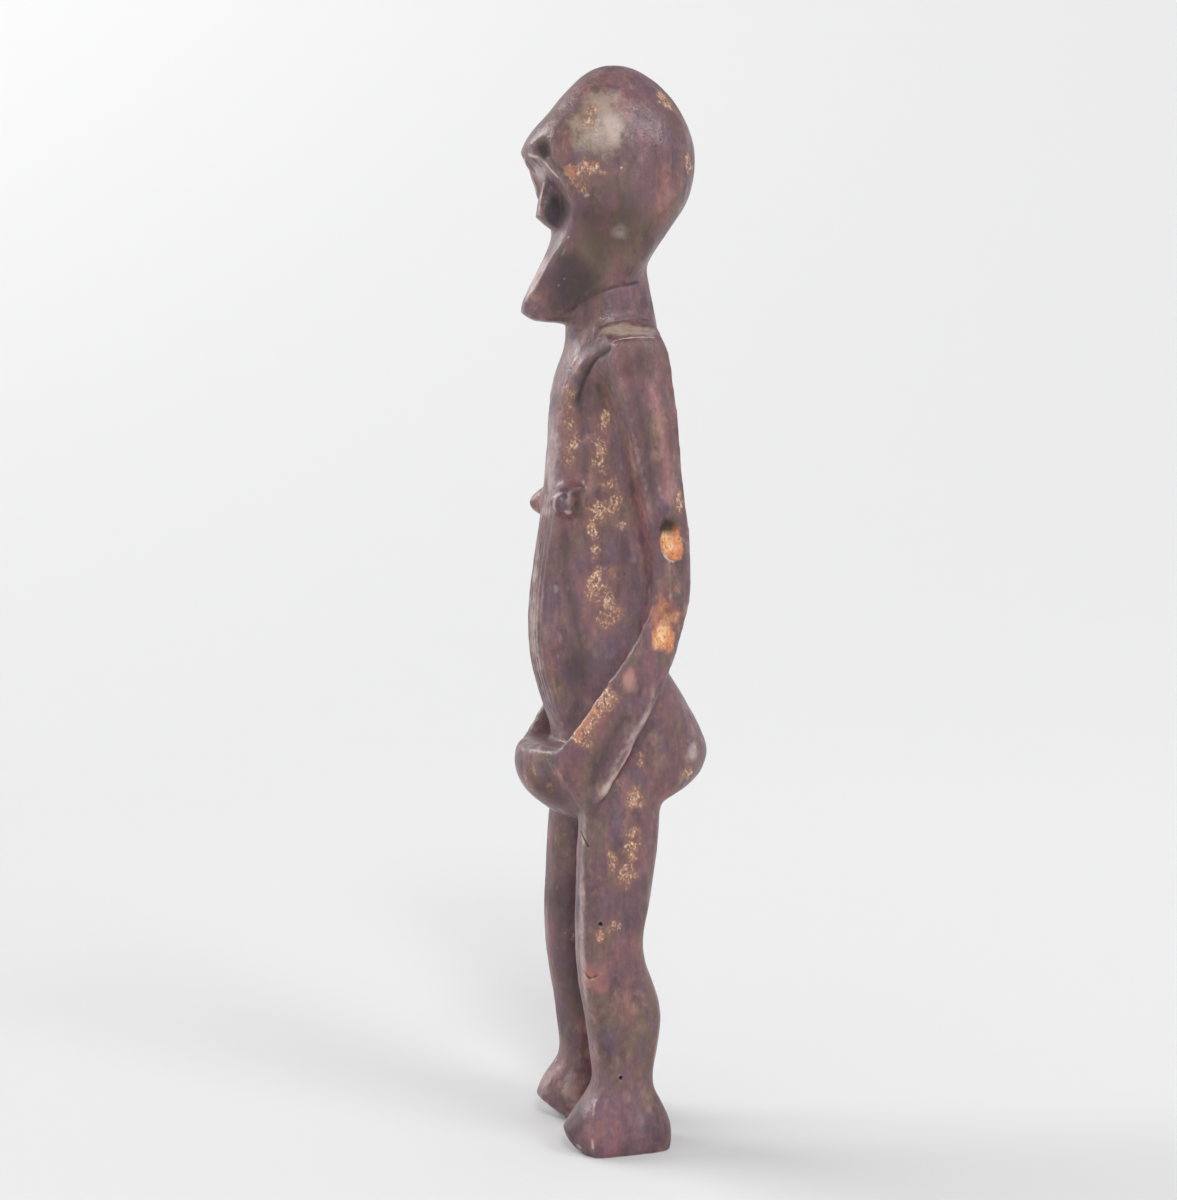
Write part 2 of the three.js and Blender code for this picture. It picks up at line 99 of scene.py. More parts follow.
def applied(mesh, *modifiers):
    """A new mesh: the given one with these modifiers applied."""
    holder = placed("holder", mesh)
    for kind, settings in modifiers:
        modifier = holder.modifiers.new(kind, kind)
        for name, value in settings.items():
            setattr(modifier, name, value)
    graph = bpy.context.evaluated_depsgraph_get()
    made = bpy.data.meshes.new_from_object(holder.evaluated_get(graph))
    bpy.data.objects.remove(holder)
    return made


def read_array(items, name, width, kind=np.float32):
    """One attribute of all of a mesh's items as an array with a row for each."""
    flat = np.empty(len(items) * width, kind)
    items.foreach_get(name, flat)
    return flat.reshape(-1, width) if width > 1 else flat


class Surface:
    """A closed mesh of quads as arrays, in millimetres."""

    def __init__(self, mesh):
        self.mesh = mesh
        self.points = read_array(mesh.vertices, "co", 3).astype(float) / MM
        self.quads = read_array(mesh.loops, "vertex_index", 1, np.int32).reshape(-1, 4)
        self.edges = read_array(mesh.edges, "vertices", 2, np.int32)

    def write(self):
        """Puts the points back into the mesh, in metres."""
        flat = (self.points * MM).astype(np.float32).ravel()
        self.mesh.vertices.foreach_set("co", flat)
        self.mesh.update()

    def face_sides(self):
        """Centre, unit normal and area of every quad."""
        corners = self.points[self.quads]
        cross = np.cross(corners[:, 2] - corners[:, 0], corners[:, 3] - corners[:, 1])
        size = np.linalg.norm(cross, axis=1)
        return corners.mean(axis=1), cross / np.maximum(size, TINY)[:, None], size / 2

    def neighbour_faces(self):
        """Pairs of quads that share an edge."""
        edge_of_corner = read_array(self.mesh.loops, "edge_index", 1, np.int32)
        order = np.argsort(edge_of_corner, kind="stable")
        shared = np.bincount(edge_of_corner)[edge_of_corner[order]] == 2
        return (order[shared] // 4).reshape(-1, 2)

    def normals(self):
        """Unit normal at every point."""
        _, face_normals, areas = self.face_sides()
        summed = gather(self.quads.ravel(), np.repeat(face_normals * areas[:, None], 4, axis=0),
                        len(self.points))
        return unit(summed)

    def relaxed(self, values, rounds):
        """Values at the points, averaged with their neighbours the given number of times."""
        first, second = self.edges.T
        degree = np.bincount(self.edges.ravel(), minlength=len(self.points))
        for _ in range(rounds):
            near = gather(first, values[second], len(values)) + gather(second, values[first], len(values))
            values = 0.5 * values + 0.5 * (near.T / degree).T
        return values


def gather(places, values, count):
    """Sums of values by place."""
    if values.ndim == 1:
        return np.bincount(places, values, count)
    return np.stack([np.bincount(places, column, count) for column in values.T], axis=1)


def unit(vectors):
    """The vectors at length 1."""
    return vectors / np.maximum(np.linalg.norm(vectors, axis=-1, keepdims=True), TINY)


def step(low, high, values):
    """0 below low, 1 above high and a smooth rise between."""
    share = np.clip((values - low) / (high - low), 0, 1)
    return share * share * (3 - 2 * share)


def smooth_between_ridges(surface):
    """Rounds the solid's flat facets off and keeps its carved ridges."""
    surface.points = surface.relaxed(surface.points, SETTLE_FIRST)
    left, right = surface.neighbour_faces().T
    _, normals, areas = surface.face_sides()
    count = len(normals)
    for _ in range(RIDGE_ROUNDS):
        apart = ((normals[left] - normals[right]) ** 2).sum(axis=1)
        likeness = np.exp(-apart / (2 * RIDGE_SPREAD ** 2))[:, None]
        pulled = normals * areas[:, None]
        pulled = pulled + gather(left, likeness * (normals * areas[:, None])[right], count)
        pulled = pulled + gather(right, likeness * (normals * areas[:, None])[left], count)
        normals = unit(pulled)
    corner_points = surface.quads.ravel()
    uses = np.bincount(corner_points, minlength=len(surface.points))[:, None]
    for _ in range(SETTLE_ROUNDS):
        centres = surface.points[surface.quads].mean(axis=1)
        offset = np.repeat(centres, 4, axis=0) - surface.points[corner_points]
        face_normals = np.repeat(normals, 4, axis=0)
        shift = face_normals * (face_normals * offset).sum(axis=1)[:, None]
        surface.points = surface.points + gather(corner_points, shift, len(surface.points)) / uses
    surface.points = surface.relaxed(surface.points, RELAX_ROUNDS)


def soften(surface, place, reach, rounds):
    """Melts the ridges around a place and its mirror image."""
    melted = surface.relaxed(surface.points, rounds)
    for side in BOTH:
        distance = np.linalg.norm(surface.points - np.array(place) * (side, 1, 1), axis=1)
        share = step(reach, reach * MELTED_CORE, distance)[:, None]
        surface.points = surface.points + share * (melted - surface.points)


# Repeatable noise in layers. Large numbers without a pattern mix a cell's place and the seed.

NOISE_LAYERS = 3
CELL_MIX = (73856093, 19349663, 83492791)
SEED_MIX = 26544357
LAST_MIX = 1274126177


def hash_unit(cell, seed):
    """A number from 0 to 1 for each whole-number cell, the same on every run."""
    across, along, up = (cell * CELL_MIX).T
    mixed = across ^ along ^ up ^ seed * SEED_MIX
    mixed = (mixed ^ (mixed >> 13)) * LAST_MIX
    return ((mixed ^ (mixed >> 16)) & 0xFFFFFF) / 0x1000000


def humps(points, size, seed):
    """Smooth noise from -1 to 1 with humps of the given size, one number or one for each axis."""
    scaled = points / np.asarray(size, float)
    cell = np.floor(scaled).astype(np.int64)
    part = scaled - cell
    part = part * part * (3 - 2 * part)
    total = np.zeros(len(points))
    for corner in itertools.product((0, 1), repeat=3):
        weight = np.prod(np.where(corner, part, 1 - part), axis=1)
        total += weight * hash_unit(cell + corner, seed)
    return 2 * total - 1


def rough(points, size, seed):
    """Noise from about -1 to 1 with ever finer layers."""
    size = np.asarray(size, float)
    total = np.zeros(len(points))
    for layer in range(NOISE_LAYERS):
        total += humps(points, size / 2 ** layer, seed + layer) / 2 ** layer
    return total / (2 - 2 ** (1 - NOISE_LAYERS))


def scoops(points, size, seed):
    """Squared distance to the nearest of scattered centres, in cells: 0 in the middle of a scoop."""
    scaled = points / np.asarray(size, float)
    base = np.floor(scaled).astype(np.int64)
    nearest = np.full(len(points), np.inf)
    for offset in itertools.product((-1, 0, 1), repeat=3):
        cell = base + offset
        centre = cell + np.stack([hash_unit(cell, seed + axis) for axis in range(3)], axis=1)
        nearest = np.minimum(nearest, ((scaled - centre) ** 2).sum(axis=1))
    return nearest


# The carving's marks. Places and sizes are in millimetres on the figure's left side.

# How far out a mark's points are looked for, and the grain of its uneven edge, in sizes of the mark.
MARK_MARGIN = 1.5
PATCH_GRAIN = 0.9
STROKE_GRAIN = 2

# The seeds of those edges, and the share of a stroke's length over which each of its ends fades.
PATCH_SEED = 7
STROKE_SEED = 31
STROKE_FADE = 0.15

# A patch that faces one way: the cosine to that way at which it starts, and at which it is at its full.
FACING_FROM = 0.25
FACING_FULL = 0.7

# How often a stroke's path has its corners cut off, and the share of its stretches that goes each time.
CUT_ROUNDS = 2
CORNER_CUT = 0.25

# A worn pit in its own sizes: how far its ring and its crumbs reach, and how strong they are.
RING_REACH = 2.2
RING_WORN = 0.55
RING_TINT = 0.4
CRUMB_REACH = 1.4
CRUMB_LIGHT = 0.35


class Carving:
    """Heights along the normals, and the masks that the wood's material reads."""

    def __init__(self, surface):
        self.surface = surface
        self.points = surface.points
        self.normals = surface.normals()
        self.height = np.zeros(len(self.points))
        # light: painted highlights and rubbed wear; dark: painted shade and some darker patches.
        self.masks = {name: np.zeros(len(self.points)) for name in ("bare", "worn", "dark", "light", "tint")}

    def patch(self, at, size, depth=0.0, ragged=0.35, soft=0.45, facing=None, sides=(1,), **masks):
        """A pit (depth above 0) or a bump over an ellipsoid's reach, with an uneven edge."""
        for side in sides:
            offset = (self.points - np.array(at) * (side, 1, 1)) / np.array(size, float)
            near = np.flatnonzero((np.abs(offset) < MARK_MARGIN).all(axis=1))
            reach = np.linalg.norm(offset[near], axis=1)
            seed = int(abs(at[2])) * PATCH_SEED
            reach = reach + ragged * rough(self.points[near], min(size) * PATCH_GRAIN, seed)
            strength = step(1.0, 1.0 - soft, reach)
            if facing:
                cosine = self.normals[near] @ unit(np.array(facing) * (side, 1, 1))
                strength = strength * step(FACING_FROM, FACING_FULL, cosine)
            self.lay(near, strength, depth, masks)

    def stroke(self, path, width, depth=0.0, ragged=0.15, sides=(1,), **masks):
        """A groove (depth above 0) or a ridge along a path, fading at its ends."""
        for side in sides:
            line = rounded(np.array(path, float) * (side, 1, 1))
            low = line.min(axis=0) - width * MARK_MARGIN
            high = line.max(axis=0) + width * MARK_MARGIN
            near = np.flatnonzero(((self.points > low) & (self.points < high)).all(axis=1))
            distance, along = distance_to_path(self.points[near], line)
            grain = rough(self.points[near], width * STROKE_GRAIN, STROKE_SEED)
            distance = distance / width + ragged * grain
            rise = step(0.0, STROKE_FADE, along)
            fall = step(1.0, 1.0 - STROKE_FADE, along)
            self.lay(near, step(1.0, 0.0, distance) * rise * fall, depth, masks)

    def lay(self, near, strength, depth, masks):
        """Cuts this deep at the near points and keeps each mask's strongest value there."""
        self.height[near] -= depth * strength
        for name, value in masks.items():
            mask = self.masks[name]
            if value < 0:
                mask[near] = np.minimum(mask[near], value * strength)
            else:
                mask[near] = np.maximum(mask[near], value * strength)

    def worn_pits(self, pits):
        """Pits of the given place, size, depth and wear, each with crumbs inside a redder ring."""
        for place, size, depth, worn in pits:
            size = np.array(size)
            self.patch(place, RING_REACH * size, ragged=0.7, soft=0.9, worn=RING_WORN * worn,
                       tint=RING_TINT)
            self.patch(place, CRUMB_REACH * size, depth=depth, ragged=0.8, soft=0.8, worn=worn,
                       light=CRUMB_LIGHT * worn)

    def push(self):
        """Moves the points by the heights gathered so far."""
        self.surface.points = self.points + self.normals * self.height[:, None]


def rounded(path):
    """The path with its corners cut off, ends kept."""
    for _ in range(CUT_ROUNDS):
        near = (1 - CORNER_CUT) * path[:-1] + CORNER_CUT * path[1:]
        far = CORNER_CUT * path[:-1] + (1 - CORNER_CUT) * path[1:]
        middle = np.stack([near, far], axis=1).reshape(-1, 3)
        path = np.vstack([path[:1], middle, path[-1:]])
    return path


def distance_to_path(points, path):
    """Each point's distance to the path and its place along it, from 0 to 1."""
    lengths = np.linalg.norm(np.diff(path, axis=0), axis=1)
    starts = np.concatenate([[0], np.cumsum(lengths)])
    best = np.full(len(points), np.inf)
    along = np.zeros(len(points))
    for index, length in enumerate(lengths):
        direction = (path[index + 1] - path[index]) / length
        reach = np.clip((points - path[index]) @ direction, 0, length)
        distance = np.linalg.norm(points - path[index] - reach[:, None] * direction, axis=1)
        closer = distance < best
        best[closer] = distance[closer]
        along[closer] = (starts[index] + reach[closer]) / starts[-1]
    return best, along


# Height, size and seed of the waves, the adze's scoops and the grain, and a scoop's level before its cut.
WAVES = ((0.30, (26, 26, 38), 11),)
SCOOPS = ((0.26, (12, 12, 21), 21), (0.14, (6.5, 6.5, 10), 27))
GRAINS = ((0.10, (3, 3, 5), 51), (0.06, (2.2, 2.2, 14), 33))
SCOOP_LEVEL = 0.35


def tool_marks(carving):
    """Shallow waves, adze scoops and upright grain over the whole figure."""
    for height, size, seed in WAVES:
        carving.height += height * humps(carving.points, size, seed)
    for height, size, seed in SCOOPS:
        carving.height += height * (scoops(carving.points, size, seed) - SCOOP_LEVEL)
    for height, size, seed in GRAINS:
        carving.height += height * rough(carving.points, size, seed)


def scattered_wear(carving):
    """Small pits and rubbed patches in groups, on the sides that no other mark covers."""
    points = carving.points
    right_side = step(12, -2, points[:, 0])
    back_side = step(16, 26, points[:, 1])
    away = np.maximum(right_side, back_side)
    groups = step(0.15, 0.5, humps(points, (15, 15, 24), 61))
    pits = away * groups * step(0.22, 0.55, rough(points, (2.6, 2.6, 4.5), 67))
    rubbed_and_highlight = away * step(0.3, 0.7, humps(points, (11, 11, 17), 71))
    everywhere = slice(None)
    carving.lay(everywhere, pits, 0.3, {"worn": 0.75})
    carving.lay(everywhere, rubbed_and_highlight, 0.0, {"light": 0.35})


def face_marks(carving):
    """Brow rim and cheek edges with painted highlights, eye hollows and nose sides in painted shade."""
    brow = [(1, -35, 411.5), (5, -34.5, 410.5), (9.5, -33, 408.5), (12.5, -29.5, 405), (14, -27.5, 402.5),
            (16.5, -26.5, 400.5), (18, -25.5, 398)]
    cheek = [(20, -20.5, 387), (16.5, -21.5, 383.5), (12.5, -22.5, 378.5), (10.5, -23.8, 375.4),
             (8.4, -26.7, 370), (7, -28.3, 366.7), (6.2, -30.6, 361.8), (4.9, -33.7, 356), (3.5, -36, 352)]
    # Painted shade in the eye hollows and along their outer ends, over shallow pits.
    carving.patch((13.3, -31.8, 410.5), (6, 7, 7), depth=1.1, ragged=0.2, soft=0.95, sides=BOTH,
                  dark=0.95, tint=-0.9)
    carving.stroke([(13, -31, 410.5), (16.5, -29.5, 406.5), (20, -27.5, 402.5), (23, -24.5, 400)], 2.6,
                   depth=0.5, sides=BOTH, dark=0.55, tint=0.5)
    # Painted highlight along the brow's rim, painted shade in a short groove, painted sheen on the brow's
    # front.
    carving.stroke(brow, 1.4, depth=-0.5, sides=BOTH, light=0.75)
    carving.stroke([(4, -34, 409.5), (4.5, -32, 407.5), (5, -30.5, 406), (7, -30, 405)], 0.9, depth=0.3,
                   sides=BOTH, dark=0.5)
    carving.patch((0, -30, 404.5), (12, 5.5, 5.5), ragged=0.3, soft=0.7, light=0.6)
    # Painted shade on the nose's sides.
    carving.patch((4.4, -24.5, 388), (3, 7, 10), ragged=0.15, soft=0.6, sides=BOTH, dark=0.72)
    carving.patch((11, -21.5, 389.5), (9, 5, 8.5), ragged=0.15, soft=0.6, sides=BOTH, dark=0.78)
    # Painted sheen on the face's front, and painted highlights along the cheeks' edges and on small nicks.
    carving.patch((0, -31, 362), (9, 11, 17), ragged=0.4, soft=0.8, facing=FRONT, light=0.8)
    carving.stroke(cheek, 1.1, depth=-0.45, sides=BOTH, light=1.0)
    carving.stroke([(12.5, -22, 372), (11, -24, 369)], 0.7, light=1.0)
    for place in ((13.5, -21, 376.5), (11, -22, 360), (9.5, -24, 357.5), (29.5, -3.5, 402.5)):
        carving.patch(place, (0.8, 0.8, 0.7), depth=0.1, ragged=0.3, light=1.0)
    # Worn and orange patches, two with painted highlights in them, and one small painted highlight.
    carving.patch((25, -19, 400), (7, 11, 12), ragged=0.6, soft=0.9, worn=0.4, tint=-0.4)
    carving.patch((24, -23.5, 401.5), (3.4, 4.4, 5.6), depth=0.3, ragged=0.7, soft=0.8, bare=0.4, worn=0.9)
    carving.patch((26, -20, 402), (2.4, 3.4, 3.6), ragged=0.8, soft=0.8, light=0.7, worn=0.7)
    carving.patch((27.5, -14, 402.5), (4, 6, 4.4), depth=0.15, ragged=0.8, soft=0.8, worn=0.8, light=0.4)
    carving.patch((26, -19, 394), (3, 5, 6), ragged=0.6, soft=0.9, tint=-0.7, worn=0.4)
    carving.patch((25.5, -17, 391.5), (1.4, 1.6, 1.6), light=0.9)
    carving.patch((-15.5, -28.5, 404), (2.5, 2.5, 2.5), ragged=0.6, worn=0.8)


def head_marks(carving):
    """Painted shade over the jaw, painted highlights with a little wear, and worn patches on the cranium."""
    # Painted shade under the jaw and over the side of the head below the cranium.
    carving.patch((10, -20, 360), (18, 20, 24), ragged=0.4, soft=0.9, sides=BOTH, dark=0.7)
    carving.patch((22, -5, 378), (16, 25, 27), ragged=0.4, soft=0.8, sides=BOTH, dark=0.55, tint=-0.5)
    # Painted highlights over the cranium, with some wear and olive tint in the broad one.
    carving.patch((27.5, -7, 419), (7, 7.5, 19), ragged=0.5, soft=0.9, light=0.8)
    carving.patch((25, -9, 425), (12, 19, 27), ragged=0.7, soft=0.95, light=0.65, tint=-0.9, worn=0.25)
    carving.patch((23, -7, 431), (8, 11, 11), ragged=0.4, soft=0.9, light=0.55, tint=-0.5)
    carving.patch((24, -15, 422), (4, 5, 11), ragged=0.8, soft=0.6, worn=0.55, tint=-0.4)
    carving.stroke([(9.5, 7.5, 446.5), (18.5, 8.5, 438.5), (22.5, 12, 431.5), (25.5, 14, 424)], 5,
                   ragged=0.4, dark=0.3)
    carving.patch((19, 18, 433), (4.5, 4.5, 5.5), depth=0.15, ragged=0.7, soft=0.7, worn=0.85)
    carving.patch((22.5, 27.5, 407), (3.5, 4, 6.5), depth=0.15, ragged=0.7, soft=0.7, worn=0.85)
    # A painted highlight low on the side of the head, and a darker olive patch behind it.
    carving.patch((25, -2.5, 377), (5, 6.5, 7), ragged=0.6, soft=0.9, light=0.75)
    carving.patch((25.5, 5, 374.5), (2.5, 4, 3.5), ragged=0.5, soft=0.8, dark=0.3, tint=-0.7)
    carving.patch((27, -14, 385), (4, 5, 5), ragged=0.6, soft=0.8, tint=0.7)
    carving.patch((11, -18, 452), (6, 6, 5), ragged=0.5, soft=0.8, worn=0.4)


def neck_marks(carving):
    """The jaw's edge and neck in painted shade, and the shoulders' pale ledge with painted highlights."""
    jaw = [(5, -20, 345), (7.5, -18, 347.5), (9, -16, 350), (11.5, -12, 352), (15, -7, 355), (16.5, -1, 357),
           (16.5, 2.5, 357.5), (15.5, 7.5, 359), (13, 11.5, 360)]
    foot = [(15.5, -11.5, 338), (18, -9, 340), (17.5, -5, 341.5), (17.5, -0.5, 343), (17.5, 4.5, 344),
            (16.5, 9.5, 344.5), (16, 15, 343.5)]
    edge = [(32.5, -9.5, 332), (34, -6, 333.5), (37, -2, 334.4), (37, 5, 334.8), (36.5, 11, 335)]
    # Painted shade over the neck under the jaw, and along the jaw's edge.
    carving.patch((0, 2, 350), (24, 26, 9), ragged=0.4, soft=0.8, dark=0.8)
    carving.stroke(jaw, 1.7, depth=0.55, sides=BOTH, dark=0.6)
    # An olive band with a painted highlight at the nape, and an olive line with painted shade at the neck's
    # foot.
    carving.stroke([(11, -14.5, 353), (14.5, -10.5, 356.5), (17.5, -6, 359.5)], 3.0, depth=-0.4,
                   ragged=0.4, sides=BOTH, tint=-0.9, light=0.3)
    carving.stroke(foot, 1.5, depth=0.4, sides=BOTH, tint=-0.7, dark=0.35)
    # The ledge: olive with a painted highlight on its upward top, and a painted highlight on its edge.
    carving.patch((27, 1, 338), (14, 14, 8), ragged=0.3, soft=0.5, facing=(0.2, 0, 1), sides=BOTH,
                  light=0.6, tint=-1.0)
    carving.stroke(edge, 1.2, depth=-0.2, ragged=0.5, sides=BOTH, light=1.0)


def chest_marks(carving):
    """Plate border in painted shade, arm ridges and breasts with painted highlights, rows of worn pits."""
    border = [(36, -9, 330.5), (28.5, -11, 329), (22.5, -13, 326.5), (20, -15, 322.5), (18, -16.5, 317),
              (16, -17.5, 311.5), (14.5, -18.5, 305)]
    arm_front = [(36.5, -8.5, 330.5), (38, -6, 318), (38.5, -3.5, 306.5), (38.5, -1, 293.5), (39, 1.5, 282.5),
                 (39.5, 3.5, 270.5), (40.5, 6, 260.5), (40.5, 7, 250)]
    facet = [(41, -3, 322), (42, -0.5, 308), (42, 2.5, 294), (42.5, 4.5, 280), (42.5, 5.5, 268),
             (42.5, 7, 250)]
    # Painted shade along the plate's border crease, and a painted highlight on the lip beside it.
    carving.stroke(border, 5.5, depth=0.4, ragged=0.3, sides=BOTH, dark=0.5)
    carving.stroke(border, 2.4, depth=0.8, ragged=0.3, sides=BOTH, dark=0.85)
    carving.stroke([(15, -15.5, 331), (12.5, -18.5, 326), (10, -21, 319.5), (9, -23, 311)], 2.2,
                   depth=-0.3, ragged=0.5, sides=BOTH, light=0.35)
    # Painted highlight along the arm's front ridge, and painted shade on the facet behind it.
    carving.stroke(arm_front, 3.2, depth=-0.3, ragged=0.6, sides=BOTH, light=0.25)
    carving.stroke(facet, 3.8, depth=0.2, ragged=0.4, sides=BOTH, dark=0.45)
    # A red tint on the arm's outer face, with a painted highlight.
    carving.stroke([(41, 3, 330), (42, 6.5, 312), (42.5, 9.5, 297), (42.5, 12, 283), (42, 15, 262)], 7.5,
                   ragged=0.5, sides=BOTH, tint=0.6, light=0.35)
    carving.patch((41, 0, 323), (6, 12, 14), ragged=0.5, soft=0.9, sides=BOTH, tint=0.6, dark=0.7)
    # Painted sheen on the chest's front.
    carving.patch((2, -26, 290), (13, 6, 36), ragged=0.6, soft=0.7, facing=FRONT, light=0.55)
    carving.patch((21.5, -17.5, 269), (4.5, 6, 9), depth=1.7, ragged=0, soft=0.9, sides=BOTH)
    # Painted highlights on the breast's rim and on a small bump, and a darker pit at its tip.
    carving.stroke([(20, -25, 273), (19, -28, 271.5), (17, -28.5, 265.5), (14, -25, 261)], 1.4, depth=-0.2,
                   sides=BOTH, light=0.6)
    carving.patch((20.5, -25.5, 271), (2, 2.4, 2.6), depth=0.5, soft=0.8, sides=BOTH, dark=0.5)
    carving.patch((19, -23, 264.5), (1.8, 2, 2.2), depth=-0.3, soft=0.8, sides=BOTH, light=0.6)
    pits = (((13, -20, 300), (3, 3, 17), 0.25, 0.5), ((12.4, -21, 286.4), (2, 3, 3.2), 0.5, 0.85),
            ((13.2, -19.1, 292), (1.8, 2.6, 2.4), 0.4, 0.85), ((20.6, -8.5, 297), (3, 4, 11), 0.2, 0.5),
            ((20.9, -7.3, 304.2), (2.2, 3, 2.8), 0.5, 0.95), ((19.4, -9, 300.6), (1.8, 2.4, 2.4), 0.4, 0.8),
            ((19.8, -9.5, 289), (2.4, 3, 4.4), 0.4, 0.85), ((20.6, -8.9, 282), (1.6, 2, 2), 0.4, 0.8),
            ((22.4, -6, 275.7), (2.2, 2.8, 2.2), 0.3, 0.7), ((20.7, -10.6, 265.5), (2.4, 3.4, 4.4), 0.4, 0.9),
            ((23.4, -4.5, 268), (2.2, 2.6, 4), 0.3, 0.75), ((20.1, -12.6, 258), (1.8, 2.2, 4.4), 0.4, 0.95),
            ((20.9, -12, 250), (1.8, 2.2, 2.4), 0.4, 1.0), ((24.8, -1.6, 259.4), (1.6, 1.8, 1.8), 0.3, 0.9),
            ((21.5, -10.5, 235), (3, 5, 6), 0.3, 0.85), ((23, -7, 224.5), (3, 4.4, 7), 0.4, 0.9))
    carving.worn_pits(pits)


# The belly's flutes: their pitch, height and the reach of their waver.
FLUTE_PITCH = 3.2
FLUTE_HEIGHT = 0.2
FLUTE_WAVER = 0.8


def belly_marks(carving):
    """Upright flutes down the belly's front, painted shade on its sides, painted highlights on its nicks."""
    points = carving.points
    below_chest = step(272, 262, points[:, 2])
    above_hands = step(176, 190, points[:, 2])
    middle = step(15, 11, np.abs(points[:, 0]))
    front = step(-17, -20, points[:, 1])
    inside = below_chest * above_hands * middle * front
    waver = FLUTE_WAVER * humps(points, (6, 6, 30), 41)
    flutes = np.sin(2 * math.pi * (points[:, 0] + waver) / FLUTE_PITCH)
    carving.height += FLUTE_HEIGHT * inside * flutes
    # Painted shade on the belly above the hands, along its sides and beside the arm, and a dark notch.
    carving.patch((18, -18, 205), (14, 15, 30), ragged=0.4, soft=0.9, sides=BOTH, dark=0.65)
    carving.stroke([(13, -24, 265), (14, -23.5, 253), (17, -22.5, 232.5), (19.5, -19, 215.5), (21, -17, 203)],
                   6, ragged=0.5, sides=BOTH, dark=0.5)
    carving.stroke([(24, -2, 262), (25.5, -0.5, 245), (25, -2.5, 235), (25, -5, 222)], 4, ragged=0.7,
                   dark=0.45)
    carving.patch((25, -2.5, 239), (2, 3.4, 3), depth=0.3, ragged=0.9, soft=0.9, dark=0.5)
    # Painted sheen on the belly's front, and painted highlights on its nicks.
    carving.patch((2, -33, 220), (13, 7, 38), ragged=0.6, soft=0.7, facing=FRONT, light=0.5)
    for place in ((13.9, -26.6, 233.5), (15.4, -25.7, 213), (14.2, -26, 206)):
        carving.patch(place, (1.4, 1.8, 2.4), depth=0.35, ragged=0.8, light=0.4)


def arm_breaks(carving):
    """The left upper arm's knot hole, in painted shade at its top, and its elbow's break, to pale wood."""
    carving.patch((41, 14, 251.5), (6.5, 6, 9.5), depth=0.3, ragged=0.3, soft=0.35, bare=1.0)
    # Painted shade in the knot hole's top, and a painted highlight round its rim.
    carving.patch((40, 13, 258.5), (6.5, 5.5, 5.4), depth=1.0, ragged=0.4, soft=0.9, dark=0.85, tint=-1.0)
    carving.stroke([(43, 17, 262), (44.5, 13, 264), (44.5, 9.5, 261), (43.5, 8.3, 256), (43.5, 8.5, 251),
                    (44, 10.5, 246.5), (43.5, 14, 244.5), (41.5, 18, 248)], 1.2, depth=-0.3, ragged=0.4,
                   light=0.9)
    carving.patch((40.5, 17.5, 269), (4, 4.4, 6), ragged=0.7, soft=0.8, worn=0.75, light=0.3)
    carving.patch((39.5, 11, 221), (8, 9.5, 17), depth=0.3, ragged=0.6, soft=0.7, bare=0.5)
    carving.patch((39.5, 11, 213.5), (6.5, 7, 9.5), depth=0.5, ragged=0.5, soft=0.6, bare=1.0)
    carving.patch((40.5, 12, 227), (5, 6, 5), depth=0.4, ragged=0.9, soft=0.7, dark=0.45, tint=0.8)


def forearm_marks(carving):
    """Worn forearm ridges, raised rims, painted shade in grooves and under the hands, and hand wear."""
    rim = [(43.5, 8.5, 207.5), (42.5, 6.5, 200.5), (42.5, 5, 190.5), (41, 1.5, 180), (38.5, -4, 169.5),
           (35, -10, 157.5), (31.5, -14, 148), (27.5, -17, 142.5)]
    ridge = [(38, -4.5, 208), (36, -12, 198), (35, -15.5, 192.5), (33.5, -18.5, 186.5), (31.5, -22, 180),
             (30, -25.5, 175.5), (28, -29, 169)]
    # A faint painted highlight on the raised rim and the worn ridge, and painted shade in the groove between.
    carving.stroke(rim, 4.6, depth=-1.3, ragged=0.3, sides=BOTH, light=0.1, tint=0.3)
    carving.stroke([(41, -2, 186), (38.5, -8, 177), (37, -12, 170), (34.5, -15, 160), (32, -17, 150)], 5.5,
                   depth=1.1, ragged=0.4, sides=BOTH, dark=0.5)
    carving.stroke(ridge, 5.0, ragged=0.5, sides=BOTH, worn=0.3, tint=-0.7, light=0.15)
    carving.stroke([(37, -9, 196), (36, -14, 188), (34, -18, 182), (32, -22, 176.5), (30, -26, 171)], 8.0,
                   depth=0.2, ragged=0.8, worn=0.85, tint=0.7)
    carving.stroke([(36, -14.5, 187), (32.5, -20.5, 179), (30.5, -25, 173)], 3.6, ragged=0.9, bare=0.5)
    # Painted highlights on a red patch near the elbow and on the hands' top and front, with worn patches.
    carving.patch((40.7, -4, 197.5), (3.5, 5, 7), ragged=0.5, soft=0.8, tint=0.9, light=0.3)
    carving.patch((4, -37, 167), (24, 7, 3), ragged=0.5, soft=0.8, facing=UP, light=0.2)
    for place in ((13.5, -35.5, 156.5), (16.5, -30, 150.5), (6.5, -37, 152), (24, -27, 158)):
        carving.patch(place, (4, 5, 8), depth=0.15, ragged=0.7, soft=0.9, worn=0.6, tint=0.4)
    carving.patch((-8, -38, 157), (14, 4, 8), ragged=0.5, soft=0.8, facing=FRONT, light=0.5)
    # Painted shade under the joined hands.
    carving.patch((14, -28, 150), (13, 13, 15), ragged=0.5, soft=0.9, dark=0.6)


